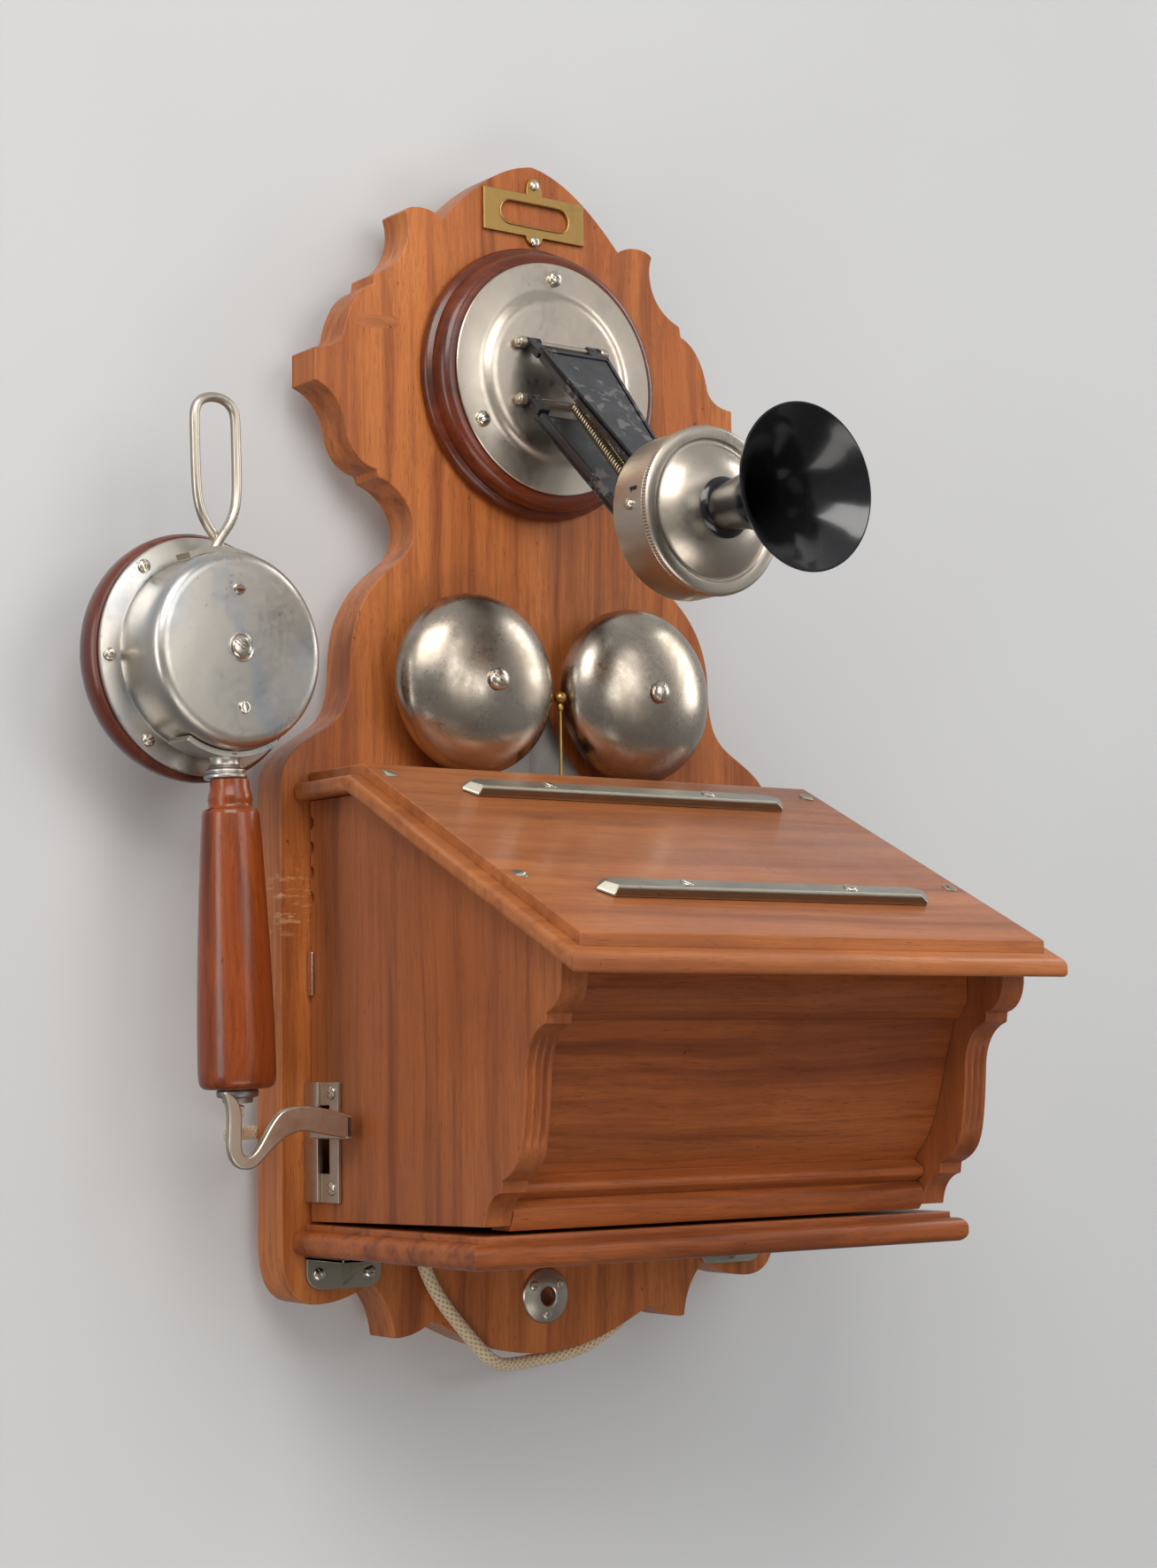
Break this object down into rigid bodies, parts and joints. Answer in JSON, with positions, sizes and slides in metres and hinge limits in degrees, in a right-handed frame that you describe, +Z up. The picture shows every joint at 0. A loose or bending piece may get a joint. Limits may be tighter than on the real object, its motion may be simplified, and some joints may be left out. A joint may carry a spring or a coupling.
{
  "type": "wall crank telephone",
  "caption": "Antique wooden wall telephone: jointed arm with a horn transmitter, twin gongs, receiver on a hook lever, hand crank, and a sloping desk on a housing that swings open.",
  "frame": {"origin": "on the wall, behind the centre of the transmitter's base plate, on the back face of the upper batten", "axes": "+Z up, +X to the right as seen by someone facing the telephone, +Y into the wall, so the telephone stands out towards -Y"},
  "size_m": [0.4152, 0.238, 0.5677],
  "materials": {
    "walnut": "satin varnish over walnut, worn at the edges",
    "dark_wood": "glossy red-brown varnish",
    "batten_wood": "bare pine",
    "nickel": "old nickel plate, lightly stained",
    "brass": "dull brass",
    "steel": "plain steel",
    "black_enamel": "black enamel, chipped to bare iron on the edges",
    "ebonite": "polished black hard rubber",
    "winding": "green silk-covered wire",
    "magnet_red": "dull red paint",
    "cloth": "cream and tan braided cotton"
  },
  "bodies": {
    "wall_side": {"backboard": "walnut", "upper_batten": "batten_wood", "lower_batten": "batten_wood", "name_card_frame": "brass", "fixing_escutcheon": "nickel", "base_shelf": "walnut", "shelf_bracket_left": "nickel", "shelf_bracket_right": "nickel", "hook_guide_strip": "nickel", "hook_bracket": "brass", "hook_contacts": "brass", "induction_coil": "winding", "terminal_block": "dark_wood", "cord": "cloth", "board_leaf_upper": "brass", "board_leaf_lower": "brass", "rosette": "dark_wood", "base_plate": "nickel", "upper_arm_pin": "nickel", "lower_arm_pin": "nickel", "gong_left": "nickel", "gong_right": "nickel", "gong_post_left": "nickel", "gong_post_right": "nickel", "ringer_plate": "steel", "ringer_coils": "winding"},
    "housing": {"side_panel_left": "walnut", "side_panel_right": "walnut", "front_panel": "walnut", "desk_top": "walnut", "paper_bar_upper": "nickel", "paper_bar_lower": "nickel", "latch_plate": "nickel", "hook_slot_plate": "nickel", "generator_plate_left": "brass", "generator_plate_right": "brass", "generator_magnets": "magnet_red", "door_leaf_upper": "brass", "door_leaf_lower": "brass"},
    "crank": {"crank_gear": "brass", "crank_arm": "nickel", "crank_knob": "dark_wood"},
    "armature": {"generator_armature": "steel"},
    "upper_arm": {"upper_arm": "black_enamel"},
    "lower_arm": {"lower_arm": "black_enamel", "counter_spring": "steel"},
    "transmitter_head": {"transmitter_cup": "nickel", "transmitter_cap": "nickel", "carbon_button": "brass", "horn": "ebonite"},
    "receiver": {"receiver_handle": "dark_wood", "receiver_ferrule": "nickel", "receiver_collar": "nickel", "receiver_case": "nickel", "ear_cap": "dark_wood", "hanging_loop": "nickel", "receiver_magnet": "steel"},
    "hook": {"hook_lever": "nickel"},
    "clapper": {"clapper": "brass", "ringer_armature": "steel"}
  },
  "joints": [
    {"name": "housing_swing", "type": "hinge", "parent": "wall_side", "child": "housing", "pos_m": [0.1345, -0.0348, -0.307], "axis": [0, 0, 1], "range_deg": [0, 55]},
    {"name": "crank_turn", "type": "hinge", "parent": "housing", "child": "crank", "pos_m": [0.1185, -0.1, -0.31], "axis": [1, 0, 0], "continuous": true},
    {"name": "armature_spin", "type": "hinge", "parent": "housing", "child": "armature", "pos_m": [0.07, -0.1, -0.3477], "axis": [1, 0, 0], "continuous": true},
    {"name": "arm_lift", "type": "hinge", "parent": "wall_side", "child": "upper_arm", "pos_m": [0, -0.0523, 0.0135], "axis": [-1, 0, 0], "range_deg": [-8, 35]},
    {"name": "lower_arm_follow", "type": "hinge", "parent": "wall_side", "child": "lower_arm", "pos_m": [0, -0.0523, -0.0135], "axis": [-1, 0, 0], "range_deg": [-8, 35]},
    {"name": "head_level", "type": "hinge", "parent": "upper_arm", "child": "transmitter_head", "pos_m": [0, -0.1303, -0.0682], "axis": [-1, 0, 0], "range_deg": [-35, 8]},
    {"name": "receiver_lift", "type": "slide", "parent": "wall_side", "child": "receiver", "axis": [0, 0, 1], "range_m": [0, 0.12]},
    {"name": "hook_swing", "type": "hinge", "parent": "wall_side", "child": "hook", "pos_m": [-0.07, -0.0445, -0.346], "axis": [0, 1, 0], "range_deg": [-9, 0], "stiffness_Nm_per_rad": 0.3, "springref_deg": 20.05},
    {"name": "clapper_swing", "type": "hinge", "parent": "wall_side", "child": "clapper", "pos_m": [0, -0.047, -0.2075], "axis": [0, 1, 0], "range_deg": [-1.5, 1.5], "stiffness_Nm_per_rad": 0.06}
  ],
  "couplings": [
    {"joint": "armature_spin", "follows": "crank_turn", "ratio": -4},
    {"joint": "lower_arm_follow", "follows": "arm_lift", "ratio": 1},
    {"joint": "head_level", "follows": "arm_lift", "ratio": -1}
  ]
}
